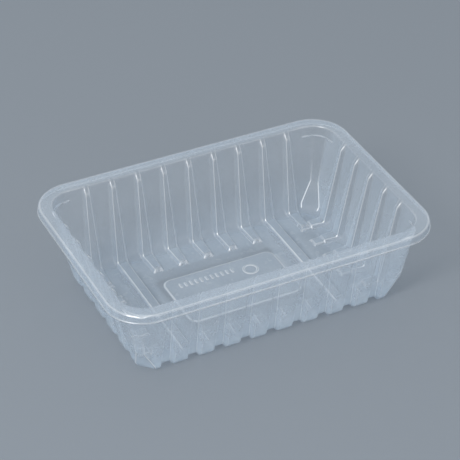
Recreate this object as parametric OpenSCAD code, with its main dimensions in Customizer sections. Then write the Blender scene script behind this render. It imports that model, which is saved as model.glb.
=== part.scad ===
// A one-piece food tray formed from a thin plastic sheet: a flat rim with a
// turned-down lip, four tapering ribbed walls and a ribbed floor.
// Lengths are in millimetres. X runs along the length, Y across it, Z up.
// The origin is under the middle of the floor, on the surface the tray stands on.

/* [Tray] */
// Overall length, measured across the lip
tray_length = 190; // [186:0.5:194]
// Overall width, measured across the lip
tray_width = 130; // [126:0.5:134]
// Overall height, from the underside of the floor to the top of the rim
tray_height = 52; // [48:0.5:56]
// Thickness of the formed sheet
sheet = 0.4; // [0.35:0.05:0.6]

/* [Rim] */
// Width of the rim, from the opening to the lip's outer edge
rim_width = 8.4; // [7.6:0.1:9.2]
// Radius of the rim's corners, at the lip
rim_corner = 22; // [20:0.5:24]
// Height of the turned-down lip
lip_height = 4.3; // [3.6:0.1:5]
// How far the lip's lower edge leans outwards
lip_flare = 0.5; // [0.2:0.1:0.8]
// Radius of the bend between the rim's flat and its lip
rim_round = 1.2; // [0.9:0.1:1.5]
// Radius of the bend between the rim's flat and the walls
throat_round = 1; // [0.8:0.1:1.3]

/* [Walls and floor] */
// Length of the floor's inner face, before the foot is rounded
foot_length = 153.2; // [149:0.5:157]
// Width of the floor's inner face, before the foot is rounded
foot_width = 96; // [92:0.5:100]
// Radius of the bend between the walls and the floor
foot_round = 6; // [4:0.5:7]

/* [Wall ribs] */
// Distance from each rib to the next
rib_pitch = 15.6; // [15:0.1:16]
// Number of ribs in each long wall
long_wall_ribs = 9; // [7:2:9]
// Number of ribs in each short wall
short_wall_ribs = 5; // [3:2:5]
// Depth below the rim at which the ribs reach their full height
rib_top_drop = 4; // [3:0.25:5]
// Width of a rib's crest at its top
rib_top_width = 2.4; // [2:0.1:2.8]
// Width of a rib's crest at its foot
rib_foot_width = 5.6; // [5:0.1:6]
// How far a rib stands out of the wall at its top
rib_top_depth = 2.2; // [1.8:0.1:2.6]
// How far a rib stands out of the wall at its foot
rib_foot_depth = 2.9; // [2.4:0.1:3.4]
// Sideways lean of a rib's flanks for each unit of height
rib_lean = 0.48; // [0.4:0.02:0.56]

/* [Floor ribs] */
// Height of the floor ribs above the inner floor
floor_rib_height = 2; // [1.6:0.1:2.4]
// Width of a floor rib's crest at its end
floor_rib_end_width = 4.2; // [3.6:0.1:4.8]
// Distance from the foot of a long wall to the ends of its floor ribs
long_reach = 18.2; // [16:0.2:20]
// Distance from the foot of a short wall to the ends of its floor ribs
short_reach = 17.4; // [16:0.2:18.6]
// Length of the low tip of each floor rib of the short walls
tip_length = 6.4; // [5:0.2:8]
// Width of the low tip's crest
tip_width = 5.2; // [4.2:0.2:5.4]
// Height of that low tip above the inner floor
tip_height = 1.1; // [0.8:0.1:1.4]
// Ribs, counted from the middle one, that run right across the floor
crossing_rib = 3; // [2:1:3]

/* [Corners] */
// Depth of the stacking ledge below the top of the rim
ledge_drop = 6; // [5:0.25:7]
// Width cut off each wall by the flat corner just below the ledge
ledge_cut = 5.6; // [4.8:0.2:6.4]
// Height above the inner floor at which the corner is sharpest
waist_height = 16.8; // [14:0.4:20]
// Width cut off each wall at that height
waist_cut = 3.2; // [2.6:0.2:4]
// Width cut off each wall by the flat lower corner at the floor
foot_cut = 9.2; // [8:0.2:10.4]

/* [Floor panel] */
// Length of the raised panel in the middle of the floor
panel_length = 68.4; // [64:0.4:72]
// Width of the panel
panel_width = 40; // [36:0.5:44]
// Corner radius of the panel
panel_corner = 5; // [3:0.5:8]
// How far the panel is raised
panel_rise = 0.4; // [0.2:0.05:0.6]
// How far the plain ring and the plain bars stand above the panel
mark_rise = 0.25; // [0.15:0.05:0.35]
// Radius of the plain ring
ring_radius = 4.4; // [3:0.2:5]
// Number of plain bars
bar_count = 11; // [3:1:11]
// Distance from each bar to the next
bar_pitch = 3.2; // [2:0.1:3.4]

/* [Hidden] */
// Number of flat steps in each rounded corner
arc_steps = 10;
// Number of flat steps in each bend of the sheet
bend_steps = 4;
// Height of the cavity's inner face
inner_depth = tray_height - sheet;
// Half the length and width of the opening
open_x = tray_length / 2 - rim_width;
open_y = tray_width / 2 - rim_width;
// Half the length and width of the floor's inner face
foot_x = foot_length / 2;
foot_y = foot_width / 2;
// Corner radius of the opening
throat_corner = rim_corner - rim_width;
// Slopes of the short and long walls
slope_x = (open_x - foot_x) / inner_depth;
slope_y = (open_y - foot_y) / inner_depth;
// How fast the flat corners lean and narrow
lower_slope = (slope_x + slope_y + (foot_cut - waist_cut) / waist_height) / sqrt(2);
upper_spread = (ledge_cut - waist_cut) / (inner_depth - ledge_drop - waist_height);
// Height of the stacking ledge's step
ledge_step = 0.7;
// Angle of the ribs' flanks, and how much narrower a groove is than its ridge
flank = atan(rib_lean);
trim_crest = sheet * (1 - sin(flank)) / cos(flank);
trim_base = sheet / cos(flank);
// How far the cutting shapes reach past the sheet
past = 1.6;
// Colour of the frosted plastic
frost = [0.85, 0.89, 0.93];

// Inner face of the walls at a height above the stand
function wall_x(z) = foot_x + slope_x * (z - sheet);
function wall_y(z) = foot_y + slope_y * (z - sheet);

// A leaning face that bends over into the floor, offset outwards by a thickness
function leaning(start, slope, z, out) = let (
    r = foot_round + out,
    up = sheet + foot_round - z,
    stretch = sqrt(1 + slope * slope)
)
up <= r * sin(atan(slope))
    ? start + slope * (z - sheet) + out * stretch
    : start + slope * foot_round - foot_round * stretch + sqrt(max(0, r * r - up * up));

// One outline of points: half length, half width, corner size, height, and
// whether the corners are cut straight instead of rounded
function ring(row) = [
    for (q = [0 : 3])
        for (k = [0 : arc_steps])
            let (
                part = (q % 2 == 0) ? k / arc_steps : 1 - k / arc_steps,
                sx = (q == 0 || q == 3) ? 1 : -1,
                sy = (q < 2) ? 1 : -1,
                px = row[4] ? 1 - part : cos(90 * part),
                py = row[4] ? part : sin(90 * part)
            )
            [sx * (row[0] - row[2] + row[2] * px), sy * (row[1] - row[2] + row[2] * py), row[3]]
];

// A solid through several rounded rectangles, given from the lowest upwards
module stack(rows) {
    n = 4 * (arc_steps + 1);
    last = n * (len(rows) - 1);
    points = [for (row = rows) for (p = ring(row)) p];
    under = [for (i = [0 : n - 1]) i];
    over = [for (i = [0 : n - 1]) last + n - 1 - i];
    sides = [
        for (k = [0 : len(rows) - 2])
            for (i = [0 : n - 1])
                for (half = [0, 1])
                    let (a = k * n + i, b = k * n + (i + 1) % n)
                    half == 0 ? [a, a + n, b + n] : [a, b + n, b]
    ];
    polyhedron(points = points, faces = concat([under, over], sides));
}

// The convex solid around a list of points
module wrap(points) {
    hull() {
        polyhedron(points = points, faces = [[for (i = [0 : len(points) - 1]) i]]);
    }
}

// Row of the walls with flat corners at a height, offset outwards by a thickness
function wall_row(z, out) = let (
    hx = leaning(foot_x, slope_x, z, out),
    hy = leaning(foot_y, slope_y, z, out),
    lower = leaning((foot_x + foot_y - foot_cut) / sqrt(2), lower_slope, z, out),
    cut = waist_cut + upper_spread * (z - sheet - waist_height),
    upper = (wall_x(z) + wall_y(z) - cut) / sqrt(2) + out * 1.03
)
[hx, hy, hx + hy - sqrt(2) * min(lower, upper), z, true];

// The walls from the floor to the throat, offset outwards by a thickness
function wall_rows(out) = concat(
    [
        for (k = [0 : bend_steps])
            let (turn = 90 - 80 * k / bend_steps)
            wall_row(sheet + foot_round - (foot_round + out) * sin(turn), out)
    ],
    [
        wall_row(sheet + waist_height, out),
        wall_row(tray_height - ledge_drop - ledge_step + out, out)
    ],
    [
        let (z = tray_height - ledge_drop + out)
        [wall_x(z) + out, wall_y(z) + out, throat_corner + out, z, false]
    ]
);

// Flared throat where the walls turn out into the rim, offset outwards by a thickness
function throat_rows(out) = [
    for (k = [0 : bend_steps])
        let (
            turn = 10 + 80 * k / bend_steps,
            low = tray_height - throat_round,
            cx = wall_x(low) + throat_round * sqrt(1 + slope_x * slope_x),
            cy = wall_y(low) + throat_round * sqrt(1 + slope_y * slope_y),
            r = throat_round - out
        )
        [
            cx - r * cos(turn),
            cy - r * cos(turn),
            throat_corner + throat_round - r * cos(turn),
            low + r * sin(turn),
            false
        ]
];

// The rim's outside, or the space under it when given the sheet's thickness
function rim_rows(in) = concat(
    [
        let (drop = in > 0 ? lip_height + 1 : lip_height)
        let (lean = lip_flare * (drop - rim_round) / (lip_height - rim_round))
        [
            tray_length / 2 - lip_flare + lean - in,
            tray_width / 2 - lip_flare + lean - in,
            rim_corner - lip_flare + lean - in,
            tray_height - drop,
            false
        ]
    ],
    [
        for (k = [0 : bend_steps])
            let (
                turn = 90 * k / bend_steps,
                shy = lip_flare + rim_round - (rim_round - in) * cos(turn)
            )
            [
                tray_length / 2 - shy,
                tray_width / 2 - shy,
                rim_corner - shy,
                tray_height - rim_round + (rim_round - in) * sin(turn),
                false
            ]
    ]
);

// Last row of a list, moved to another height
function lifted(rows, z) = let (r = rows[len(rows) - 1]) [r[0], r[1], r[2], z, false];

// One wall's rib: the ridge inside, or with a gap the groove behind it
module wall_rib(open_h, foot_h, gap) {
    slope = (open_h - foot_h) / inner_depth;
    z1 = tray_height - rib_top_drop;
    z2 = sheet + floor_rib_height;
    v1 = foot_h + slope * (z1 - sheet) - rib_top_depth;
    v2 = foot_h + slope * (z2 - sheet) - rib_foot_depth;
    a1 = rib_top_width / 2;
    a2 = rib_foot_width / 2;
    crest = (v1 - v2) / (z1 - z2);
    widen = (a1 - a2) / (z1 - z2);
    narrow_a = gap > 0 ? trim_crest : 0;
    narrow_b = gap > 0 ? trim_base : 0;
    run = norm([open_h - v1, rib_top_drop]);
    dv = (open_h - v1) / run;
    dz = rib_top_drop / run;
    step = gap * (1 - dz - dv * crest) / (dv - dz * crest);
    vt = v1 + gap * dz + step * dv;
    zt = z1 - gap * dv + step * dz;
    ve = open_h + past;
    ze = zt + (ve - vt) * dz / dv;
    v3 = v2 + crest * (sheet - z2);
    vb = foot_h + past;
    at = a1 + widen * (zt - z1);
    ae = a1 + widen * (ze - z1);
    a3 = a2 + widen * (sheet - z2);
    be = ae + (ve - v1 - crest * (ze - z1)) * rib_lean;
    b3 = a3 + (vb - v3) * rib_lean;
    wrap([
        for (s = [-1, 1]) each [
            [s * (at - narrow_a), vt, zt],
            [s * (be - narrow_b), ve, ze],
            [s * (a3 - narrow_a), v3 + gap, sheet],
            [s * (b3 - narrow_b), vb, sheet]
        ]
    ]);
}

// One floor rib, from outside the wall to its end
module floor_rib(foot_h, end_v, end_half, height, gap) {
    v2 = foot_h - rib_foot_depth;
    out = foot_h + past + 1;
    top = sheet + height - gap;
    low = -1;
    fade = (rib_foot_width / 2 - end_half) / (v2 - end_v);
    a_out = end_half + fade * (out - end_v);
    narrow_a = gap > 0 ? trim_crest : 0;
    narrow_b = gap > 0 ? trim_base : 0;
    spread = (sheet + height - low) * rib_lean;
    wrap([
        for (s = [-1, 1]) each [
            [s * (a_out - narrow_a), out, top],
            [s * (a_out + spread - narrow_b), out, low],
            [s * (end_half - narrow_a), end_v + gap, top],
            [s * (end_half + spread - narrow_b), end_v + gap - 0.1 * (top - low), low]
        ]
    ]);
}

// A floor rib that runs from one long wall to the other
module crossing(gap) {
    half = rib_foot_width / 2 - 0.2;
    out = foot_y + past + 1;
    top = sheet + floor_rib_height - gap;
    spread = (sheet + floor_rib_height + 1) * rib_lean;
    narrow_a = gap > 0 ? trim_crest : 0;
    narrow_b = gap > 0 ? trim_base : 0;
    wrap([
        for (s = [-1, 1]) for (e = [-1, 1]) each [
            [s * (half - narrow_a), e * out, top],
            [s * (half + spread - narrow_b), e * out, -1]
        ]
    ]);
}

// All the ribs of the four walls and of the floor
module ribs(gap) {
    long_side = (long_wall_ribs - 1) / 2;
    short_side = (short_wall_ribs - 1) / 2;
    end_half = floor_rib_end_width / 2;
    for (i = [-long_side : long_side]) {
        translate([i * rib_pitch, 0, 0]) {
            for (flip = [0, 180]) {
                rotate(flip) wall_rib(open_y, foot_y, gap);
                if (abs(i) != crossing_rib) {
                    rotate(flip) floor_rib(foot_y, foot_y - long_reach, end_half, floor_rib_height, gap);
                }
            }
            if (abs(i) == crossing_rib) {
                crossing(gap);
            }
        }
    }
    for (j = [-short_side : short_side]) {
        for (flip = [-90, 90]) {
            translate([0, j * rib_pitch, 0]) rotate(flip) {
                wall_rib(open_x, foot_x, gap);
                floor_rib(foot_x, foot_x - short_reach + tip_length, end_half + 0.3, floor_rib_height, gap);
                floor_rib(foot_x, foot_x - short_reach, tip_width / 2, tip_height, gap);
            }
        }
    }
}

// The raised panel of the floor, or the hollow under it
module panel(gap) {
    top = sheet + panel_rise - gap;
    low = gap > 0 ? -1 : 0;
    lean = 0.6 * panel_rise;
    half_x = (panel_length - gap) / 2;
    half_y = (panel_width - gap) / 2;
    stack([
        [half_x, half_y, panel_corner, low, false],
        [half_x, half_y, panel_corner, top - panel_rise, false],
        [half_x - lean, half_y - lean, panel_corner - lean, top, false]
    ]);
}

// A plain ring and a row of plain bars on the panel
module marks() {
    low = sheet + panel_rise - 0.2;
    tall = 0.2 + mark_rise;
    translate([16, 9, low]) {
        difference() {
            cylinder(r = ring_radius, h = tall, $fn = 32);
            translate([0, 0, -1]) cylinder(r = ring_radius - 0.9, h = tall + 2, $fn = 32);
        }
    }
    for (i = [0 : bar_count - 1]) {
        translate([6 - i * bar_pitch, 12.3, low + tall / 2]) cube([0.9, 3.4, tall], center = true);
    }
}

// The space inside the tray
module cavity() {
    rows = concat(wall_rows(0), throat_rows(0));
    difference() {
        stack(concat(rows, [lifted(rows, tray_height + 1)]));
        ribs(0);
        panel(0);
        marks();
    }
}

// The outside of the walls and floor, up to the rim
module shell() {
    rows = concat(wall_rows(sheet), throat_rows(sheet));
    difference() {
        stack(concat(rows, [lifted(rows, tray_height - sheet / 2)]));
        ribs(sheet);
        panel(sheet);
    }
}

// The rim and its lip, before the opening is cut
module rim() {
    difference() {
        stack(rim_rows(0));
        stack(rim_rows(sheet));
    }
}

module tray() {
    color(frost) {
        difference() {
            union() {
                rim();
                shell();
            }
            cavity();
        }
    }
}

union() {
    tray();
}
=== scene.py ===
# %% [markdown]
# # A frosted food tray, formed from one sheet
#
# The object is a thin food tray. It is thermoformed: a flat plastic sheet is
# warmed, pulled down over a mould and trimmed round its lip. So the whole tray
# is one sheet of about 0.4 mm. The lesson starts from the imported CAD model,
# which gives the size, and makes one smooth sheet in its place.

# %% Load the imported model
import math
import bpy
import bmesh
from mathutils import Matrix, Vector


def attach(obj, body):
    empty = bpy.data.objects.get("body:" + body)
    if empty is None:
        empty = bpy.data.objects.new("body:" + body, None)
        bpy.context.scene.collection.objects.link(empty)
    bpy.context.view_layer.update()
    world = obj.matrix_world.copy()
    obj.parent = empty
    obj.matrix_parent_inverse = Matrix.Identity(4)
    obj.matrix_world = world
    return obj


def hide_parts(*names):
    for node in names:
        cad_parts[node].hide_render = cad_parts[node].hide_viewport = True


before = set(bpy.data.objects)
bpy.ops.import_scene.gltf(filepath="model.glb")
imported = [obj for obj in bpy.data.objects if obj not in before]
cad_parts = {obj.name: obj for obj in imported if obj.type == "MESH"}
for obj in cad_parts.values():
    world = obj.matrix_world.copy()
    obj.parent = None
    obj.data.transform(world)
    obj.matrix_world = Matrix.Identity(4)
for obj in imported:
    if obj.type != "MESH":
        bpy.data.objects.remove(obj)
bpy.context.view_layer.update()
MM = 0.001

# %% [markdown]
# ## The camera
#
# The photograph looks down on the tray from about 36 degrees, turned 27 degrees
# to the left of the long wall. The rim's straight edges are known lengths, and
# they fix where the camera stood and its long lens. The rotation is written as
# three axes: right, up, and backwards out of the picture.

# %% Camera
FRAME_PIXELS = 460
FOCAL_PIXELS = 1891.03
YAW, PITCH, ROLL = math.radians(26.93), math.radians(36.07), math.radians(-0.50)
AIM = Vector((1.72, -10.61, 1027.25))
SOLVED_LENGTH, RIM_LENGTH = 191, 190     # the rim's length in the camera's sums, and on the tray
RIM_TOP = 52.0
SENSOR = 36


def camera_axes():
    """Right, down and forward of the camera."""
    forward = Vector((math.sin(YAW) * math.cos(PITCH), math.cos(YAW) * math.cos(PITCH), -math.sin(PITCH)))
    level = Vector((math.cos(YAW), -math.sin(YAW), 0))
    below = forward.cross(level)
    right = math.cos(ROLL) * level + math.sin(ROLL) * below
    down = math.cos(ROLL) * below - math.sin(ROLL) * level
    return right, down, forward


right, down, forward = camera_axes()
turn = Matrix((right, down, forward))
eye = -(turn.transposed() @ AIM) * (RIM_LENGTH / SOLVED_LENGTH) + Vector((0, 0, RIM_TOP))
lens = bpy.data.cameras.new("camera")
lens.sensor_width = SENSOR
lens.lens = FOCAL_PIXELS * SENSOR / FRAME_PIXELS
lens.clip_start, lens.clip_end = 0.05, 20
camera = bpy.data.objects.new("camera", lens)
place = Matrix((right, -down, -forward)).transposed().to_4x4()
place.translation = eye * MM
camera.matrix_world = place
bpy.context.scene.collection.objects.link(camera)
bpy.context.scene.camera = camera
print("camera at", [round(v, 3) for v in camera.matrix_world.translation])
print("lens in mm:", round(lens.lens, 1))

# %% [markdown]
# ## The tray's sizes
#
# These are the sizes of the CAD model, in millimetres. Everything is described
# on the inner face of the sheet, and the sheet's thickness goes outwards from
# it at the end.

# %% Sizes
SHEET = 0.4
RIM_HALF = (95.0, 65.0)          # lip's outer edge, along X and Y
RIM_WIDTH = 8.4
RIM_CORNER = 22.0
LIP_HEIGHT, LIP_FLARE, RIM_ROUND = 4.3, 0.5, 1.2
THROAT_ROUND, THROAT_CORNER = 1.0, 13.6
FOOT_HALF = (76.6, 48.0)
FOOT_ROUND = 6.0
SLOPE = tuple((RIM_HALF[k] - RIM_WIDTH - FOOT_HALF[k]) / (RIM_TOP - SHEET) for k in (0, 1))
PITCH_MM = 15.6
RIBS = (2, 4)                    # ribs each side of the middle one: short walls, long walls
CREST_TOP, CREST_FOOT = 1.2, 2.8   # half widths of a rib's crest
DEPTH_TOP, DEPTH_FOOT = 2.2, 2.9
BEND_TOP, BEND_FOOT = 48.0, 2.4    # heights at which a rib's crest bends
LEAN = 0.48
FLOOR_RIB = 2.0
LONG_END, SHORT_STEP, SHORT_END = 29.8, 65.6, 59.2
TIP_HEIGHT = 1.1
LEDGE_DROP, LEDGE_CUT, WAIST, WAIST_CUT, FOOT_CUT = 6.0, 5.6, 16.8, 3.2, 9.2
PANEL_HALF, PANEL_CORNER, PANEL_RISE = (34.2, 20.0), 5.0, 0.4
print("wall slopes:", [round(s, 4) for s in SLOPE])

# %% [markdown]
# ## Helpers for rounded bends
#
# A thermoformed sheet has no sharp edge. Each rib is a flat crest, two leaning
# flanks and a small round at every edge. The highlights that make the ribs
# readable in the photograph sit on these rounds, so they are real geometry:
# one helper gives the columns' places across a rib, and the other gives how
# far the rounded profile stands out at any place.

# %% Rib profile
CREST_ROUND, BASE_ROUND = 0.55, 0.65
LEAST_DEPTH = 1.0                     # a shallower rib keeps the columns of this one
FULL_ROUND_DEPTH = 1.6                # a shallower rib has smaller rounds
LEAN_ANGLE = math.atan2(1, LEAN)      # turn at each edge of a rib


def clamp(v, low=0.0, high=1.0):
    return max(low, min(high, v))


def ease(v):
    v = clamp(v)
    return v * v * (3 - 2 * v)


def rib_columns(crest, depth):
    """Distances from a rib's middle line to the columns that shape one side of it."""
    depth = max(depth, LEAST_DEPTH)
    base = crest + LEAN * depth
    tight = min(1, depth / FULL_ROUND_DEPTH)
    t1 = CREST_ROUND * tight * math.tan(LEAN_ANGLE / 2)
    t2 = BASE_ROUND * tight * math.tan(LEAN_ANGLE / 2)
    c = math.cos(LEAN_ANGLE)
    return [crest - t1, crest - 0.25 * t1, crest + c * t1, base - c * t2, base + 0.25 * t2, base + t2]


def rib_height(lateral, crest, depth):
    """How far a rib with rounded edges stands out at a distance from its middle line."""
    if depth <= 0:
        return 0.0
    wide = max(depth, LEAST_DEPTH)
    lateral = abs(lateral)
    base = crest + LEAN * wide
    tight = min(1, wide / FULL_ROUND_DEPTH)
    r1, r2 = CREST_ROUND * tight, BASE_ROUND * tight
    t1, t2 = r1 * math.tan(LEAN_ANGLE / 2), r2 * math.tan(LEAN_ANGLE / 2)
    c = math.cos(LEAN_ANGLE)
    if lateral <= crest - t1:
        h = wide
    elif lateral < crest + c * t1:
        h = wide - r1 + math.sqrt(max(0, r1 * r1 - (lateral - crest + t1) ** 2))
    elif lateral <= base - c * t2:
        h = wide - (lateral - crest) / LEAN
    elif lateral < base + t2:
        h = r2 - math.sqrt(max(0, r2 * r2 - (base + t2 - lateral) ** 2))
    else:
        h = 0.0
    return h * depth / wide


print("columns beside a rib's middle:", [round(v, 2) for v in rib_columns(CREST_FOOT, DEPTH_FOOT)])

# %% [markdown]
# ## The lines of the floor's grid
#
# The sheet starts as one grid that covers the floor. Its lines run on up the
# walls, so a line is needed wherever a rib has an edge: six on each side of a
# rib's middle, one between two ribs, and a few in each corner that turn round
# it. A line is kept as a short recipe, and its place is worked out later from
# the height, because the ribs get wider towards the floor.

# %% Grid lines
CORNER_STEPS = 6
SIDE_LINES, END_LINES = 6, 4      # beside a rib's middle, and at the last rib of a short wall


def line_recipes(side):
    """The lines that cross one direction, in order. side 0 is X and 1 is Y."""
    count = RIBS[1 - side]
    found = []
    for i in range(-count, count + 1):
        if i > -count:
            found.append(("between", i - 0.5, 0, 0))
        near = [("rib", i, -1, k) for k in range(SIDE_LINES - 1, -1, -1)]
        near.append(("rib", i, 0, 0))
        near += [("rib", i, 1, k) for k in range(SIDE_LINES)]
        if side == 1 and abs(i) == count:
            spot = SIDE_LINES if i > 0 else SIDE_LINES + 1
            near[spot:spot] = [("end", i, 0, k) for k in range(END_LINES)]
        found += near
    low = [("corner", 0, -1, n) for n in range(CORNER_STEPS, -1, -1)]
    high = [("corner", 0, 1, n) for n in range(CORNER_STEPS + 1)]
    return low + found + high


LINES = (line_recipes(0), line_recipes(1))
print("grid lines:", len(LINES[0]), "across X and", len(LINES[1]), "across Y")

# %% [markdown]
# ## The rows of the walls and the rim
#
# Above the floor the sheet is a stack of rings. Each row holds the height of
# the wall, its half length and half width, the size of the corner and how
# round it is, and the path of the ribs' crests at that level. The foot, the
# throat and the rim are arcs, so they get several rows each.

# %% Wall faces


def leaning(start, slope, z):
    """Half size of a wall that bends over into the floor."""
    up = SHEET + FOOT_ROUND - z
    if up <= FOOT_ROUND * math.sin(math.atan(slope)):
        return start + slope * (z - SHEET)
    arc = math.sqrt(max(0, FOOT_ROUND ** 2 - up * up))
    return start + slope * FOOT_ROUND - FOOT_ROUND * math.sqrt(1 + slope * slope) + arc


def wall(k, z):
    return FOOT_HALF[k] + SLOPE[k] * (z - SHEET)


UPPER_SPREAD = (LEDGE_CUT - WAIST_CUT) / (RIM_TOP - SHEET - LEDGE_DROP - WAIST)
BEND_SOFT = 0.9                       # the crests' upper bend reaches this far up and down
LOWER_SLOPE = (SLOPE[0] + SLOPE[1] + (FOOT_CUT - WAIST_CUT) / WAIST) / math.sqrt(2)


def corner_cut(z):
    """Width that the flat corner takes from each wall."""
    hx, hy = leaning(FOOT_HALF[0], SLOPE[0], z), leaning(FOOT_HALF[1], SLOPE[1], z)
    lower = leaning((FOOT_HALF[0] + FOOT_HALF[1] - FOOT_CUT) / math.sqrt(2), LOWER_SLOPE, z)
    cut = WAIST_CUT + UPPER_SPREAD * (z - SHEET - WAIST)
    upper = (wall(0, z) + wall(1, z) - cut) / math.sqrt(2)
    return hx + hy - math.sqrt(2) * min(lower, upper)


def crest_top(k):
    return wall(k, BEND_TOP) - DEPTH_TOP


def crest_slope(k):
    return (crest_top(k) - FOOT_HALF[k] + DEPTH_FOOT) / (BEND_TOP - BEND_FOOT)


def crest_face(k, z):
    """Half size at which the crests stand at a height, with a soft bend near the top."""
    straight = crest_top(k) + crest_slope(k) * (z - BEND_TOP)
    open_half = RIM_HALF[k] - RIM_WIDTH
    ramp = (open_half - crest_top(k)) / (RIM_TOP - BEND_TOP)
    if z > BEND_TOP + BEND_SOFT:
        return crest_top(k) + ramp * (z - BEND_TOP)
    if z < BEND_TOP - BEND_SOFT:
        return straight
    part = (z - BEND_TOP + BEND_SOFT) / (2 * BEND_SOFT)
    return straight + (ramp - crest_slope(k)) * BEND_SOFT * part * part


def crest_width(z):
    """Half width of a crest at a height."""
    return CREST_TOP + (CREST_FOOT - CREST_TOP) * (BEND_TOP - z) / (BEND_TOP - BEND_FOOT)


LEDGE_LOW, LEDGE_SOFT = 45.3, 0.7     # where a flat corner starts to turn into an arc, and over what height
print("corner cut at floor, waist and ledge:",
      [round(corner_cut(z), 2) for z in (SHEET, SHEET + WAIST, LEDGE_LOW)])

# %% Rows of the foot and the walls
CREST_BEND = 1.3
FOOT_TURNS = (90, 80, 70, 60, 50, 40, 30, 20, 10)      # degrees of the foot's arc
WALL_LEVELS = (7.6, 10.5, 13.5, 16.2, 17.2, 18.2, 22, 27, 32, 37, 41, 43.6, 44.8, 45.3,
               45.5, 45.75, 46.0, 46.25, 46.8, 47.5, 48.1, 48.8, 49.5, 50.2)


def crest_in_bend(k, part, low, high):
    """Place of a crest in the foot's bend, from part 0 at the floor to 1 at the wall."""
    top = SHEET + FLOOR_RIB
    corner = FOOT_HALF[k] - DEPTH_FOOT
    s = crest_slope(k)
    up_end = (corner + s * CREST_BEND, top + CREST_BEND)
    in_start = (corner - CREST_BEND, top)
    if part < 0.25:
        q = part / 0.25
        return (low + (in_start[0] - low) * q, top)
    if part > 0.75:
        q = (part - 0.75) / 0.25
        z = up_end[1] + (high - up_end[1]) * q
        return (corner + s * (z - top), z)
    q = (part - 0.25) / 0.5
    a, b, c = (1 - q) ** 2, 2 * q * (1 - q), q * q
    return (a * in_start[0] + b * corner + c * up_end[0], a * in_start[1] + b * top + c * up_end[1])


def ring_row(z, half, cut, arc, crest=None, width=CREST_TOP, keep=0):
    """One ring. arc is 1 where the corner is an arc, and keep is the part of the ribs that stays."""
    return {"z": z, "half": half, "cut": cut, "round": arc, "crest": crest, "width": width, "keep": keep}


def foot_rows():
    rows = []
    top_z = SHEET + FOOT_ROUND * (1 - math.sin(math.radians(FOOT_TURNS[-1])))
    for n, deg in enumerate(FOOT_TURNS):
        z = SHEET + FOOT_ROUND * (1 - math.sin(math.radians(deg)))
        half = [leaning(FOOT_HALF[k], SLOPE[k], z) for k in (0, 1)]
        part = n / (len(FOOT_TURNS) - 1)
        crest = [crest_in_bend(k, part, leaning(FOOT_HALF[k], SLOPE[k], SHEET), top_z) for k in (0, 1)]
        rows.append(ring_row(z, half, corner_cut(z), 0.0, crest, crest_width(max(z, BEND_FOOT)), 1.0))
    return rows


def wall_rows():
    rows = []
    for z in WALL_LEVELS:
        half = [wall(k, z) for k in (0, 1)]
        arc = ease((z - LEDGE_LOW) / LEDGE_SOFT)
        crest = [(crest_face(k, z), z) for k in (0, 1)]
        rows.append(ring_row(z, half, corner_cut(min(z, LEDGE_LOW)), arc, crest, crest_width(z), 1.0))
    return rows


ROWS = foot_rows() + wall_rows()
print("rows of the foot and the walls:", len(ROWS))

# %% Rows of the throat and the rim
THROAT_TURNS = (10, 28, 46, 64, 78, 90)      # degrees of the bend between a wall and the rim
RIM_PARTS = (0.12, 0.4, 0.7, 0.93, 1.0)      # places across the flat rim
EDGE_TURNS = (72, 54, 36, 18, 0)             # degrees of the rim's round edge
LIP_PARTS = (0.3, 0.7, 1.0)                  # places down the lip


def throat_rows():
    rows = []
    low = RIM_TOP - THROAT_ROUND
    centre = [wall(k, low) + THROAT_ROUND * math.sqrt(1 + SLOPE[k] ** 2) for k in (0, 1)]
    for deg in THROAT_TURNS:
        a = math.radians(deg)
        z = low + THROAT_ROUND * math.sin(a)
        half = [c - THROAT_ROUND * math.cos(a) for c in centre]
        cut = THROAT_CORNER + THROAT_ROUND * (1 - math.cos(a))
        crest = [(min(crest_face(k, z), half[k]), z) for k in (0, 1)]
        keep = 1 - ease((deg - THROAT_TURNS[0]) / (THROAT_TURNS[-1] - THROAT_TURNS[0]))
        rows.append(ring_row(z, half, cut, 1.0, crest, crest_width(z), keep))
    return rows


def rim_rows(inner):
    """The flat rim, its round edge and the lip, outwards from a ring of this half size."""
    rows = []
    flat = [RIM_HALF[k] - LIP_FLARE - RIM_ROUND for k in (0, 1)]
    flat_corner = RIM_CORNER - LIP_FLARE - RIM_ROUND
    for part in RIM_PARTS:
        half = [inner[k] + (flat[k] - inner[k]) * part for k in (0, 1)]
        cut = THROAT_CORNER + THROAT_ROUND + (flat_corner - THROAT_CORNER - THROAT_ROUND) * part
        rows.append(ring_row(RIM_TOP, half, cut, 1.0))
    for deg in EDGE_TURNS:
        a = math.radians(deg)
        out = RIM_ROUND * math.cos(a)
        z = RIM_TOP - RIM_ROUND * (1 - math.sin(a))
        rows.append(ring_row(z, [f + out for f in flat], flat_corner + out, 1.0))
    for part in LIP_PARTS:
        lean = LIP_FLARE * part
        z = RIM_TOP - RIM_ROUND - (LIP_HEIGHT - RIM_ROUND) * part
        half = [RIM_HALF[k] - LIP_FLARE + lean for k in (0, 1)]
        rows.append(ring_row(z, half, RIM_CORNER - LIP_FLARE + lean, 1.0))
    return rows


ROWS += throat_rows()
ROWS += rim_rows(ROWS[-1]["half"])
print("rows above the floor:", len(ROWS))

# %% [markdown]
# ## Where each line stands
#
# On a wall a line's place depends on the row. Beside a rib it keeps to the
# rib's edge. In a corner it walks along the flat cut below the ledge, and round
# the arc above it.

# %% Places beside a rib
END_SHARES = (0.35, 0.45, 0.55, 0.65)     # end lines' places across a short wall's last rib


def rib_depth(row, k):
    """Distance from the wall to the crest of a rib in wall k (0 is a short wall)."""
    if row["crest"] is None:
        return 0.0
    v, z = row["crest"][k]
    return math.hypot(row["half"][k] - v, z - row["z"])


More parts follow.
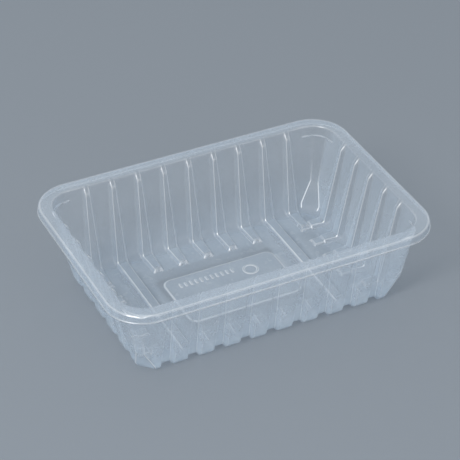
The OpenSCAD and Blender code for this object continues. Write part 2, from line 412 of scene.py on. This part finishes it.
def along(recipe, row, k):
    """Place along wall direction k (0 runs along X), for lines that aren't in a corner."""
    kind, i, s, n = recipe
    if kind == "between":
        return i * PITCH_MM
    if kind == "end":
        share = END_SHARES[n if i < 0 else END_LINES - 1 - n]
        return i * PITCH_MM - math.copysign(share * row["width"], i)
    depth = rib_depth(row, 1 - k)
    return i * PITCH_MM + s * rib_columns(row["width"], depth)[n]


print("depth of a rib at the first row:", [round(rib_depth(ROWS[0], k), 2) for k in (0, 1)])

# %% Places in a corner
CREASE_LOW, CREASE_MORE = 0.5, 1.0     # size of the small round beside a flat corner, and how much it grows
CREASE_FROM, CREASE_OVER = 17, 12      # above this height, over this much of it
CORNER_GAP = 0.08                      # least space between the last rib and the corner's lines


def cut_round(row):
    """Corner radius of a row whose corner is an arc."""
    beyond_wall = row["z"] > RIM_TOP - THROAT_ROUND or row["half"][0] > RIM_HALF[0] - RIM_WIDTH
    return row["cut"] if beyond_wall else THROAT_CORNER


def corner_point(row, side, n):
    """Distances of corner line n from a wall's end and in from its face. side 0 is a short wall."""
    cut = row["cut"]
    last_rib = RIBS[side] * PITCH_MM + rib_columns(row["width"], rib_depth(row, side))[-1]
    room = row["half"][1 - side] - last_rib - CORNER_GAP
    t = min(CREASE_LOW + CREASE_MORE * clamp((row["z"] - CREASE_FROM) / CREASE_OVER), 0.8 * (room - cut))
    far = min(THROAT_CORNER, room)
    flat = [(far, 0), ((far + cut + t) / 2, 0), (cut + t, 0), (cut, 0.11 * t), (cut - 0.7 * t, 0.7 * t)]
    flat += [(cut * 0.75, cut * 0.25), (cut / 2, cut / 2)]
    a = math.radians(45) * n / CORNER_STEPS
    bent = (cut_round(row) * (1 - math.sin(a)), cut_round(row) * (1 - math.cos(a)))
    w = row["round"]
    return tuple(flat[n][q] * (1 - w) + bent[q] * w for q in (0, 1))


print("middle of a corner in the first row:", [round(v, 2) for v in corner_point(ROWS[0], 0, CORNER_STEPS)])

# %% Points of a ring


def ring_point(row, side, recipe, sign):
    """Point on the ring. side 0 is a short wall, whose lines run across Y.

    sign says which of the two walls it is."""
    kind, i, s, n = recipe
    k = 1 - side                       # direction along this wall
    if kind == "corner":
        back, inward = corner_point(row, side, n)
        p = [0.0, 0.0, row["z"]]
        p[k] = s * (row["half"][k] - back)
        p[side] = sign * (row["half"][side] - inward)
        return p
    lateral = along(recipe, row, k)
    p = [0.0, 0.0, row["z"]]
    p[k] = lateral
    p[side] = sign * row["half"][side]
    full = rib_depth(row, side)
    depth = full * row["keep"]
    if kind != "between" and depth > 0:
        v, z = row["crest"][side]
        h = rib_height(lateral - i * PITCH_MM, row["width"], depth) / full
        p[side] = sign * (row["half"][side] + (v - row["half"][side]) * h)
        p[2] = row["z"] + (z - row["z"]) * h
    return p


middle = ring_point(ROWS[0], 1, ("rib", 0, 0, 0), 1)
print("first ring, middle of a long wall:", [round(v, 2) for v in middle])

# %% [markdown]
# ## The floor
#
# The floor is a height field. The floor ribs go on from the wall ribs at the
# same width and end in a steep face. Two of them run right across, from one long
# wall to the other, and the ribs of the short walls have a lower tip. Inside the
# floor the lines keep to the ribs' edges too.

# %% Floor heights
END_PLACES = (SHORT_STEP, LONG_END)       # where a floor rib ends
END_WIDTHS = (2.4, 2.1)                   # its half width there
CROSSING_RIB, CROSSING_WIDTH = 3, 2.6     # the long walls' rib that runs right across
END_SOFT = 0.5                            # length of the rounded step at an end
LONG_SCOOP, SHORT_SCOOP = 0.7, 0.5        # how much further an end's middle lies than its edges
TIP_WIDTH = 2.6


def floor_width(k, v):
    """Half width of a floor rib's crest at a distance from the middle. k 0 is a rib of a short wall."""
    v = abs(v)
    end, half = END_PLACES[k], END_WIDTHS[k]
    corner = FOOT_HALF[k] - DEPTH_FOOT
    return half + (CREST_FOOT - half) * clamp((v - end) / (corner - end))


def step_up(v, place, soft):
    """0 before a place and 1 after it, over a short rounded step."""
    return ease((v - place) / soft + 0.5)


def floor_height(x, y):
    """Height of the sheet's inner face above the flat floor."""
    best = 0.0
    i = round(x / PITCH_MM)
    if abs(i) <= RIBS[1]:
        lateral = x - i * PITCH_MM
        if abs(i) == CROSSING_RIB:
            full, width = 1.0, max(CROSSING_WIDTH, floor_width(1, y))
        else:
            width = floor_width(1, y)
            scoop = LONG_SCOOP * (1 - clamp(abs(lateral) / width) ** 2)
            full = step_up(abs(y), LONG_END + scoop, END_SOFT)
        best = max(best, full * rib_height(lateral, width, FLOOR_RIB))
    j = round(y / PITCH_MM)
    if abs(j) <= RIBS[0]:
        lateral = y - j * PITCH_MM
        width = floor_width(0, x)
        upper = step_up(abs(x), SHORT_STEP, END_SOFT)
        scoop = SHORT_SCOOP * (1 - clamp(abs(lateral) / TIP_WIDTH) ** 2)
        tip = step_up(abs(x), SHORT_END + scoop, END_SOFT)
        main = upper * rib_height(lateral, width, FLOOR_RIB)
        low = tip * rib_height(lateral, TIP_WIDTH, TIP_HEIGHT)
        best = max(best, main, low)
    return best


print("height on a floor rib:", round(floor_height(0, 35), 2), "beside it:", round(floor_height(6, 35), 2))

# %% Places of the floor's grid points
END_LINES_AT = (29.2, 29.6, 30.0, 30.5)     # across Y, where the long walls' floor ribs end
END_LINES_FROM, END_LINES_OVER = 67, 4      # along X, where they swing to the short walls' last ribs
ENDS_INNER = (60.5, 59.9, 59.5, 59.2, 58.9, 58.5)     # across X, where the short walls' ribs end
ENDS_OUTER = (64.7, 65.2, 65.45, 65.7, 66.0, 66.4)
ENDS_FROM, ENDS_OVER = 28.6, 1.4            # along Y, where they swing to the long walls' last ribs


def floor_line(recipe, k, other):
    """Place of a line in the floor, given the place along it. k 0 is a line across X."""
    kind, i, s, n = recipe
    if kind == "between":
        return i * PITCH_MM
    if kind == "corner":
        base = ROWS[0]
        start = corner_point(base, 1 - k, 0)[0]
        return s * (base["half"][k] - start + start * n / CORNER_STEPS)
    if kind == "end":
        m = n if i > 0 else END_LINES - 1 - n
        at_wall = i * PITCH_MM - math.copysign(END_SHARES[-1 - m] * CREST_FOOT, i)
        w = ease((abs(other) - END_LINES_FROM) / END_LINES_OVER)
        return math.copysign(END_LINES_AT[m], i) * (1 - w) + at_wall * w
    width = floor_width(1 - k, other)
    natural = i * PITCH_MM + s * rib_columns(width, FLOOR_RIB)[n]
    if k == 0 and abs(i) == RIBS[1] and s != 0:
        goal = ENDS_OUTER[n] if s * i > 0 else ENDS_INNER[n]
        w = 1 - ease((abs(other) - ENDS_FROM) / ENDS_OVER)
        return natural * (1 - w) + math.copysign(goal, i) * w
    return natural


def floor_point(a, b):
    """Point for line recipes a (across X) and b (across Y).

    A corner of the floor is a patch between its two straight edges and the first ring's corner."""
    x = y = 0.0
    for _ in range(3):
        x = floor_line(a, 0, y)
        y = floor_line(b, 1, x)
    if a[0] == "corner" and b[0] == "corner":
        sx, sy, m = a[2], b[2], CORNER_STEPS
        u, v = a[3] / m, b[3] / m
        base = ROWS[0]
        x0 = base["half"][0] - corner_point(base, 1, 0)[0]
        y0 = base["half"][1] - corner_point(base, 0, 0)[0]
        top = ring_point(base, 1, ("corner", 0, 1, a[3]), 1)
        side = ring_point(base, 0, ("corner", 0, 1, b[3]), 1)
        far = ring_point(base, 1, ("corner", 0, 1, m), 1)
        bottom, left = (abs(x), y0), (x0, abs(y))
        px = (1 - v) * bottom[0] + v * top[0] + (1 - u) * left[0] + u * side[0]
        px -= (1 - u) * (1 - v) * x0 + u * (1 - v) * base["half"][0] + (1 - u) * v * x0 + u * v * far[0]
        py = (1 - v) * bottom[1] + v * top[1] + (1 - u) * left[1] + u * side[1]
        py -= (1 - u) * (1 - v) * y0 + u * (1 - v) * y0 + (1 - u) * v * base["half"][1] + u * v * far[1]
        return [sx * px, sy * py, SHEET]
    return [x, y, SHEET + floor_height(x, y)]


print("a corner point of the floor:", [round(v, 2) for v in floor_point(LINES[0][-3], LINES[1][-3])])

# %% [markdown]
# ## Forming the sheet
#
# The grid is made flat, and its outer edge is extruded once for each row. Each
# point carries its two line numbers and its row, so that afterwards one pass
# moves it to its formed place, as the mould does with the warm sheet.

# %% Grid and rings
sheet = bmesh.new()
nx, ny = len(LINES[0]), len(LINES[1])
bmesh.ops.create_grid(sheet, x_segments=nx - 1, y_segments=ny - 1, size=1.0)
line_x = sheet.verts.layers.int.new("line_x")
line_y = sheet.verts.layers.int.new("line_y")
row_of = sheet.verts.layers.int.new("row")
for v in sheet.verts:
    v[line_x] = round((v.co.x + 1) / 2 * (nx - 1))
    v[line_y] = round((v.co.y + 1) / 2 * (ny - 1))
    v[row_of] = -1
edge = [e for e in sheet.edges if e.is_boundary]
for v in {v for e in edge for v in e.verts}:
    v[row_of] = 0
for number in range(1, len(ROWS)):
    grown = bmesh.ops.extrude_edge_only(sheet, edges=edge)["geom"]
    for v in grown:
        if isinstance(v, bmesh.types.BMVert):
            v[row_of] = number
    edge = [e for e in grown if isinstance(e, bmesh.types.BMEdge) and e.is_boundary]
print("points:", len(sheet.verts), "faces:", len(sheet.faces))

# %% Formed places


def formed(v):
    """Place of a grid point in the formed sheet, in millimetres."""
    a, b = LINES[0][v[line_x]], LINES[1][v[line_y]]
    if v[row_of] < 0:
        return floor_point(a, b)
    row = ROWS[v[row_of]]
    if v[line_y] in (0, ny - 1):         # on a long wall's side of the ring
        return ring_point(row, 1, a, b[2])
    return ring_point(row, 0, b, a[2])


for v in sheet.verts:
    v.co = Vector(formed(v)) * MM
sheet.normal_update()
heights = [v.co.z / MM for v in sheet.verts]
print("lowest and highest point in mm:", round(min(heights), 2), round(max(heights), 2))

# %% [markdown]
# ## The raised panel and its marks
#
# The middle of the floor has a shallow raised panel with a ring and a row of
# bars on it. They are smaller than the grid, so the long edges near their
# outlines are halved a few times first, and then the points are lifted.

# %% Panel and marks
RING_CENTRE, RING_RADII = (16.0, 9.0), (3.5, 4.4)
BARS, BAR_HALF, BAR_Y = [6 - 3.2 * n for n in range(11)], (0.45, 1.7), 12.3
MARK_RISE, BAR_ROUND = 0.25, 0.3
PANEL_SOFT, MARK_SOFT = 0.6, 0.4      # widths of the rounded steps
PANEL_ZONE = (38, 24)                 # half size of the area that holds them all


def outside_of(x, y, half, corner):
    """Distance from a rounded rectangle's outline, negative inside it."""
    dx, dy = abs(x) - half[0] + corner, abs(y) - half[1] + corner
    return math.hypot(max(dx, 0), max(dy, 0)) + min(max(dx, dy), 0) - corner


def mark_distance(x, y):
    """Distance from the nearest mark's outline, negative inside it."""
    r = math.hypot(x - RING_CENTRE[0], y - RING_CENTRE[1])
    best = max(r - RING_RADII[1], RING_RADII[0] - r)
    for bar in BARS:
        best = min(best, outside_of(x - bar, y - BAR_Y, BAR_HALF, BAR_ROUND))
    return best


def panel_distance(x, y):
    return outside_of(x, y, PANEL_HALF, PANEL_CORNER)


def halve_near(source, distance, reach, length):
    """Halves the edges longer than a length whose ends or middle lie near an outline."""
    long_edges = []
    for e in source.edges:
        a, b = e.verts[0].co / MM, e.verts[1].co / MM
        if abs(a.x) > PANEL_ZONE[0] or abs(a.y) > PANEL_ZONE[1] or a.z > 1 or (a - b).length < length:
            continue
        c = (a + b) / 2
        if min(abs(distance(p.x, p.y)) for p in (a, b, c)) < reach + 0.5 * (a - b).length:
            long_edges.append(e)
    bmesh.ops.subdivide_edges(source, edges=long_edges, cuts=1, use_grid_fill=True)
    return len(long_edges)


print("distance of the panel's middle from its outline:", panel_distance(0, 0))

# %% Finer grid, raised panel
for step in range(5):
    near_panel = halve_near(sheet, panel_distance, reach=0.35, length=0.36)
    near_marks = halve_near(sheet, mark_distance, reach=0.15, length=0.24)
    print("halved near the panel:", near_panel, "near the marks:", near_marks)

for v in sheet.verts:
    x, y = v.co.x / MM, v.co.y / MM
    if abs(x) < PANEL_ZONE[0] and abs(y) < PANEL_ZONE[1] and v.co.z < MM:
        rise = PANEL_RISE * ease(0.5 - panel_distance(x, y) / PANEL_SOFT)
        rise += MARK_RISE * ease(0.5 - mark_distance(x, y) / MARK_SOFT)
        v.co.z = (SHEET + floor_height(x, y) + rise) * MM
print("points with the panel:", len(sheet.verts))

# %% Faces point inwards and up
bmesh.ops.recalc_face_normals(sheet, faces=sheet.faces[:])
if sum(f.normal.z * f.calc_area() for f in sheet.faces) < 0:
    bmesh.ops.reverse_faces(sheet, faces=sheet.faces[:])
sheet.normal_update()
print("faces that look up:", sum(f.normal.z > 0 for f in sheet.faces), "of", len(sheet.faces))

# %% [markdown]
# ## Whitened bends, with painted highlight
#
# Where this plastic is drawn over a tight edge it turns whitish. Each rib, the
# rim and the panel are drawn in fine pale lines, partly that whitened plastic and
# partly painted highlight, and painted glints sit as small dots where two bends
# meet. The shape itself knows where that is: the turn between two faces, divided
# by their width, is the curvature. It goes onto the points as an attribute that
# the material reads, so the lines stay on the bends from every side. A hollow
# bend whitens less than a proud one, and the soft bend at the foot of a corner
# stays clear and dull.

# %% Curvature at a point
# Shares of the pale lines, partly whitened plastic and partly painted highlight, and of the painted glint
# dots, by column
COLUMN_WHITE_AND_HIGHLIGHT = (0.15, 0.75, 1.0, 0.7, 0.6, 0.3)     # from a crest's middle out to the wall
COLUMN_DOT = (0.4, 1, 1, 0.6, 0, 0)
BETWEEN_WHITE = 0.1
LEAST_ACROSS = 0.15                   # a turn over less than this, in millimetres, counts as one over this


def in_corner(v):
    """Whether a point lies in a corner of the grid or of a ring."""
    return LINES[0][v[line_x]][0] == "corner" and LINES[1][v[line_y]][0] == "corner"


def column_share(v):
    """Parts of the pale lines and of the painted glint dots that a point of a wall keeps, by its column
    beside a rib.
    """
    on_y = v[line_y] in (0, ny - 1)
    kind, _, s, n = LINES[0][v[line_x]] if on_y else LINES[1][v[line_y]]
    if kind != "rib":
        return (1.0, 1.0) if kind == "corner" else (BETWEEN_WHITE, 0.0)
    return (COLUMN_WHITE_AND_HIGHLIGHT[n], COLUMN_DOT[n]) if s else (0.0, 0.0)


def bends_at(v):
    """Bends across the edges at a point: radians a millimetre, whether proud, and the edge's direction."""
    found = []
    for e in v.link_edges:
        if len(e.link_faces) == 2:
            across = sum(f.calc_area() for f in e.link_faces) / max(e.calc_length(), 1e-6) / 2 / MM
            turn = e.calc_face_angle(0.0) / max(across, LEAST_ACROSS)
            found.append((turn, e.is_convex, (e.other_vert(v).co - v.co).normalized()))
    return found


fold = max(sheet.verts, key=lambda v: max((b[0] for b in bends_at(v)), default=0))
print("tightest bend:", round(max(b[0] for b in bends_at(fold)), 2), "radians a millimetre")

# %% How pale each kind of bend is drawn, as whitened plastic and painted highlight
FOOT_ROWS, CREASE_ROWS = len(FOOT_TURNS), 4     # rows of the foot's arc, and of the crisp part above it
SOFT_ROWS = 5                                   # rows of a corner's foot that stay clear
CORNER_CRISP, CORNER_UPPER = 1.3, 0.6
# Painted glint dots go at the foot and between these heights
DOTTED_HEIGHTS = (47.4, 48.9)                   # the crests' upper bend
HOLLOW_CORNER, HOLLOW = 0.8, 0.3                # shares of a hollow bend in a corner and elsewhere
RIM_ROW = next(n for n, row in enumerate(ROWS) if row["z"] >= RIM_TOP - 1e-6)
# The shares of the pale lines below are partly whitened plastic and partly painted highlight; the floor's
# dot share is a painted glint
RIM_WHITE = (0, 0, 0, 0.1, 0.35, 0.45, 0.25, 0.1, 0, 0, 0, 0.1, 0.8)     # row by row, out to the lip's foot
THROAT_WHITE = 0.35
FLOOR_WHITE, RIB_END_WHITE, FLOOR_DOT = 0.7, 0.42, 0.04
PANEL_LINES = (36, 22)                          # half size of the area whose lines are the panel's own


def corner_crispness(row):
    """How crisp a corner's creases are: not at all in its foot, most of all just above it."""
    if 0 < row < SOFT_ROWS:
        return 0
    return CORNER_CRISP if row < FOOT_ROWS + CREASE_ROWS else CORNER_UPPER


def at_rib_end(x, y):
    """Whether a place on the floor lies at the end of a floor rib."""
    return abs(abs(y) - LONG_END) < 1.5 and abs(x) < 40 or 58 < abs(x) < 66.5


def panel_white_and_highlight(x, y):
    """Fine pale lines round the panel and its marks, part whitened plastic and part painted highlight."""
    outline = 0.55 * clamp(1.3 - 1.6 * abs(panel_distance(x, y) + 0.1))
    return max(outline, 0.6 * clamp(1.1 - 2.2 * abs(mark_distance(x, y))))


print("rows of the foot:", FOOT_ROWS, "first row of the rim:", RIM_ROW)

# %% How pale a point is: whitened plastic and painted highlight
LINE_FROM, LINE_GAIN = 0.15, 1.2      # a softer bend than the first, in radians a millimetre, stays clear
DOT_FROM, DOT_OVER = 0.08, 0.35       # the same for the second bend, where two meet


def strongest_bend(v):
    """The curvature that whitens a point most, and the curvature across it."""
    bends = []
    for turn, convex, line in bends_at(v):
        flat_foot = in_corner(v) and v[row_of] < FOOT_ROWS and abs(line.z) < 0.3
        hollow = HOLLOW_CORNER if in_corner(v) else HOLLOW
        share = 0 if flat_foot else 1 if convex else hollow
        bends.append((share * turn, turn, line))
    strong, _, line = max(bends, key=lambda b: b[0])
    return strong, max(b[1] * (1 - abs(b[2].dot(line))) for b in bends)


def whitening_and_highlight(v):
    """How pale the sheet is at a point (1 on a tight bend), as whitened plastic and painted highlight, and
    how strong a painted glint is where bends meet there.
    """
    row = v[row_of]
    x, y = v.co.x / MM, v.co.y / MM
    if row <= 0 and abs(x) < PANEL_LINES[0] and abs(y) < PANEL_LINES[1]:
        return panel_white_and_highlight(x, y), 0.0
    if row > RIM_ROW:
        return RIM_WHITE[row - RIM_ROW - 1], 0.0
    strong, cross = strongest_bend(v)
    crisp = corner_crispness(row) if in_corner(v) else 1
    strong = clamp(LINE_GAIN * (strong - LINE_FROM) * crisp)
    meet = strong * clamp((cross - DOT_FROM) / DOT_OVER)
    if row <= 0:
        return strong * (RIB_END_WHITE if at_rib_end(x, y) else FLOOR_WHITE), meet * FLOOR_DOT
    lined, dotted = column_share(v)
    at_dots = row < FOOT_ROWS + 1 or DOTTED_HEIGHTS[0] < ROWS[row]["z"] < DOTTED_HEIGHTS[1]
    strong *= lined
    if row > RIM_ROW - len(THROAT_TURNS):
        strong *= THROAT_WHITE
    return strong, meet * dotted if at_dots else 0.0


# %% Attributes for the material
MATT_WALL = 0.8                       # how dull the foot of a wall is; the foot of a corner is fully dull
# The first layer holds the pale lines, partly whitened plastic and partly painted highlight; the second
# holds the painted glint dots
bend = sheet.verts.layers.float.new("bend")
painted_glint = sheet.verts.layers.float.new("painted_glint")
matt = sheet.verts.layers.float.new("matt")
for v in sheet.verts:
    v[bend], v[painted_glint] = whitening_and_highlight(v)
    in_foot = 0 <= v[row_of] < FOOT_ROWS + 2
    v[matt] = 0.0 if not in_foot else 1.0 if in_corner(v) else MATT_WALL
print("points on a bend:", sum(v[bend] > 0.5 for v in sheet.verts))
print("points where bends meet:", sum(v[painted_glint] > 0.5 for v in sheet.verts))

# %% [markdown]
# ## The sheet gets its thickness
#
# The bmesh becomes one object, and a Solidify modifier adds the 0.4 mm
# outwards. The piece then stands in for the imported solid, which stays hidden.

# %% Make the piece


def sheet_object(name, source):
    mesh = bpy.data.meshes.new(name)
    source.to_mesh(mesh)
    source.free()
    for face in mesh.polygons:
        face.use_smooth = True
    made = bpy.data.objects.new(name, mesh)
    bpy.context.scene.collection.objects.link(made)
    return made


tray = sheet_object("tray_sheet", sheet)
wall_thickness = tray.modifiers.new("thickness", "SOLIDIFY")
wall_thickness.thickness = SHEET * MM
wall_thickness.offset = -1
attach(tray, "root")
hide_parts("tray")
print("tray sheet:", len(tray.data.polygons), "faces before its thickness")

# %% [markdown]
# ## Frosted plastic
#
# The plastic is clear but milky. A glass shader would bend the floor's picture
# and get dark with many walls in a row, so the sheet is layered instead, from
# the inside out:
#
# - a Transparent shader lets most of the view straight through;
# - a pale bluish veil of Principled and Translucent lies over it, thicker in the
#   rim and the floor, a little patchy, and growing where the sheet is seen at a
#   slant, because the view then crosses more plastic;
# - the whitened bends, partly painted highlight, and the painted glint dots where
#   bends meet come from the attributes;
# - a Glossy shader with an uneven roughness and a faint relief gives the shine.
#
# The few kinds of nodes that are needed often are made by helpers first.

# %% Helpers for the plastic's nodes
plastic = bpy.data.materials.new("frosted_plastic")
plastic.use_nodes = True
nodes, links = plastic.node_tree.nodes, plastic.node_tree.links
nodes.clear()


def ramp(source, low, high, from_low=0.0, from_high=1.0):
    """A value that goes from low to high while the source goes from from_low to from_high."""
    made = nodes.new("ShaderNodeMapRange")
    made.inputs["From Min"].default_value = from_low
    made.inputs["From Max"].default_value = from_high
    made.inputs["To Min"].default_value = low
    made.inputs["To Max"].default_value = high
    links.new(source, made.inputs["Value"])
    return made.outputs["Result"]


def sums(operation, first, second, third=None):
    """A Math node on sockets and plain numbers."""
    made = nodes.new("ShaderNodeMath")
    made.operation = operation
    for spot, value in zip(made.inputs, (first, second, third)):
        if isinstance(value, (int, float)):
            spot.default_value = value
        elif value is not None:
            links.new(value, spot)
    return made.outputs[0]


def carried(name):
    """A value that the sheet's points carry."""
    made = nodes.new("ShaderNodeAttribute")
    made.attribute_name = name
    return made.outputs["Fac"]


def shader(kind, **fixed):
    """A shader whose sockets, named with _ for a space, get fixed values."""
    made = nodes.new(kind)
    for name, value in fixed.items():
        made.inputs[name.replace("_", " ")].default_value = value
    return made


def mixed(share, under, over):
    """A Mix Shader that shows over by its share and under by the rest."""
    made = nodes.new("ShaderNodeMixShader")
    if isinstance(share, float):
        made.inputs["Fac"].default_value = share
    else:
        links.new(share, made.inputs["Fac"])
    links.new(under, made.inputs[1])
    links.new(over, made.inputs[2])
    return made.outputs[0]


print("empty material:", plastic.name)

# %% Place, slant and grain
object_place = nodes.new("ShaderNodeTexCoord").outputs["Object"]
split = nodes.new("ShaderNodeSeparateXYZ")
links.new(object_place, split.inputs[0])
height = split.outputs["Z"]
facing = nodes.new("ShaderNodeLayerWeight")
facing.inputs["Blend"].default_value = 0.5
slant = facing.outputs["Facing"]


def grain(scale, detail):
    """An even noise that is fixed to the tray."""
    made = nodes.new("ShaderNodeTexNoise")
    made.inputs["Scale"].default_value = scale
    made.inputs["Detail"].default_value = detail
    links.new(object_place, made.inputs["Vector"])
    return made.outputs["Fac"]


print("nodes so far:", len(nodes))

# %% [markdown]
# ### The veil
#
# Its share says how much of the background is lost behind the sheet. The floor
# and the rim were drawn least, so they are thicker and milkier than the walls.
# The veil is lit from both sides: Principled gives back the light in front of
# it, and Translucent lets through the light behind it.

# %% The milky veil
VEIL_WALL, VEIL_RIM, VEIL_FLOOR = 0.08, 0.125, 0.21   # cloudy share of the walls, the rim and the floor
VEIL_CLEARED = 0.026                  # height in metres at which a wall is as clear as it gets
RIM_FROM, RIM_FULL = 0.0505, 0.0515   # heights between which the rim's share comes in
VEIL_SLANT, SLANT_MOST = 1.0, 0.19    # how much more of it at a slant, and where that ends
thick = ramp(height, VEIL_FLOOR, VEIL_WALL, 0.0, VEIL_CLEARED)
thick = sums("ADD", thick, ramp(height, 0, VEIL_RIM - VEIL_WALL, RIM_FROM, RIM_FULL))
sloping = sums("MINIMUM", sums("POWER", slant, 2), SLANT_MOST)
cloudy = ramp(grain(500, 3), 0.965, 1.035, 0.3, 0.7)
veil_share = sums("MULTIPLY", sums("MULTIPLY_ADD", sloping, VEIL_SLANT, thick), cloudy)

tint = nodes.new("ShaderNodeMix")
tint.data_type = "RGBA"
tint.inputs["A"].default_value = (0.61, 0.70, 0.79, 1)
tint.inputs["B"].default_value = (0.665, 0.752, 0.835, 1)
links.new(ramp(grain(60, 2), 0, 1, 0.35, 0.65), tint.inputs["Factor"])

body = shader("ShaderNodeBsdfPrincipled", Roughness=0.4)
through = shader("ShaderNodeBsdfTranslucent")
links.new(tint.outputs["Result"], body.inputs["Base Color"])
links.new(tint.outputs["Result"], through.inputs["Color"])
veil = mixed(0.45, body.outputs[0], through.outputs[0])
frosted = mixed(veil_share, shader("ShaderNodeBsdfTransparent").outputs[0], veil)
print("veil of the walls, the rim and the floor:", VEIL_WALL, VEIL_RIM, VEIL_FLOOR)

# %% [markdown]
# ### Lines, dots and gloss
#
# The stretched plastic of a bend scatters light without a colour of its own, so
# it is half pale and matt, half a dull sheen; this white also stands in for the
# highlights on the bends, so it is partly painted highlight and painted sheen.
# The dots are painted glints. The gloss comes last, over everything, and the
# foot of the walls has least of it.

# %% Whitened bends with painted highlight, and painted glint dots
# The whitened share on a tight bend is partly painted highlight
BEND_WHITE_AND_HIGHLIGHT, WHITE_POWER = 0.85, 1.5   # share of the whitened plastic on a tight bend, and how fast it fades
DOT_SHARE = 0.8
# pale and sheen are a white diffuse and a white gloss put on the bends: whitened plastic in part, painted
# highlight and painted sheen in part
pale = shader("ShaderNodeBsdfPrincipled", Base_Color=(0.93, 0.95, 0.97, 1), Roughness=0.5)
sheen = shader("ShaderNodeBsdfGlossy", Color=(0.95, 0.96, 0.97, 1), Roughness=0.38)
whitened = mixed(0.5, pale.outputs[0], sheen.outputs[0])
line_share = sums("MULTIPLY", sums("POWER", carried("bend"), WHITE_POWER), BEND_WHITE_AND_HIGHLIGHT)
lined_plastic = mixed(line_share, frosted, whitened)
# The glint is a near-mirror white gloss put on the dots only: a painted glint
glint = shader("ShaderNodeBsdfGlossy", Roughness=0.3)
dotted_plastic = mixed(sums("MULTIPLY", carried("painted_glint"), DOT_SHARE), lined_plastic, glint.outputs[0])
print("whitened share of a tight bend:", BEND_WHITE_AND_HIGHLIGHT)

# %% Gloss
GLOSS_SHARE, GLOSS_EDGE = 0.04, 0.3   # share seen straight on, and what a full slant adds
GLOSS_ROUGH, ROUGH_SPREAD = 0.24, 0.05
relief = nodes.new("ShaderNodeBump")
relief.inputs["Strength"].default_value = 0.2
relief.inputs["Distance"].default_value = 0.00003
links.new(grain(650, 2), relief.inputs["Height"])
gloss = shader("ShaderNodeBsdfGlossy")
uneven = ramp(grain(220, 2), GLOSS_ROUGH - ROUGH_SPREAD, GLOSS_ROUGH + ROUGH_SPREAD, 0.3, 0.7)
links.new(uneven, gloss.inputs["Roughness"])
links.new(relief.outputs["Normal"], gloss.inputs["Normal"])
gloss_share = sums("MULTIPLY_ADD", sums("POWER", slant, 5), GLOSS_EDGE, GLOSS_SHARE)
gloss_share = sums("MULTIPLY", gloss_share, sums("SUBTRACT", 1, carried("matt")))
shining_plastic = mixed(gloss_share, dotted_plastic, gloss.outputs[0])
print("gloss seen straight on:", GLOSS_SHARE, "roughness:", GLOSS_ROUGH)

# %% [markdown]
# ### Light through the sheet
#
# A lamp's ray meets only a slightly grey Transparent shader, so light reaches
# the floor below and the shadow stays soft.

# %% What a lamp's ray meets
lamp_ray = nodes.new("ShaderNodeLightPath").outputs["Is Shadow Ray"]
faint = shader("ShaderNodeBsdfTransparent", Color=(0.90, 0.905, 0.91, 1))
out = nodes.new("ShaderNodeOutputMaterial")
links.new(mixed(lamp_ray, shining_plastic, faint.outputs[0]), out.inputs["Surface"])
tray.data.materials.append(plastic)
bpy.context.scene.cycles.transparent_max_bounces = 32
print("materials on the tray:", [m.name for m in tray.data.materials])

# %% [markdown]
# ## Floor and light
#
# The tray stands on a plain grey-blue ground. The light is soft and comes from
# the front left, where it catches the left edge of each rib, with a weak fill
# from the front and a pale sky all round. The ground is one large plane.

# %% Stage


def plain_floor():
    ground = bmesh.new()
    bmesh.ops.create_grid(ground, x_segments=1, y_segments=1, size=6)
    mesh = bpy.data.meshes.new("floor")
    ground.to_mesh(mesh)
    ground.free()
    made = bpy.data.objects.new("floor", mesh)
    bpy.context.scene.collection.objects.link(made)
    mat = bpy.data.materials.new("floor_paint")
    mat.use_nodes = True
    paint = mat.node_tree.nodes["Principled BSDF"]
    paint.inputs["Base Color"].default_value = (0.248, 0.277, 0.310, 1)
    paint.inputs["Roughness"].default_value = 0.9
    paint.inputs["Specular IOR Level"].default_value = 0.1
    mesh.materials.append(mat)
    return made


def soft_lamp(name, place, size, power, colour):
    data = bpy.data.lights.new(name, "AREA")
    data.shape = "RECTANGLE"
    data.size, data.size_y = size
    data.energy = power
    data.color = colour
    lamp = bpy.data.objects.new(name, data)
    lamp.location = place
    lamp.rotation_mode = "QUATERNION"
    lamp.rotation_quaternion = (-Vector(place)).to_track_quat("-Z", "Y")
    bpy.context.scene.collection.objects.link(lamp)
    return lamp


floor = plain_floor()
soft_lamp("key", (-2.0, -0.96, 2.0), (0.8, 0.8), 56, (1, 1, 1))
soft_lamp("fill", (0.8, -3.0, 0.5), (2.0, 1.2), 24, (1, 1, 1))
world = bpy.data.worlds.new("studio")
world.use_nodes = True
world.node_tree.nodes["Background"].inputs["Color"].default_value = (0.92, 0.96, 1.0, 1)
world.node_tree.nodes["Background"].inputs["Strength"].default_value = 0.64
bpy.context.scene.world = world
bpy.context.scene.view_settings.view_transform = "Standard"
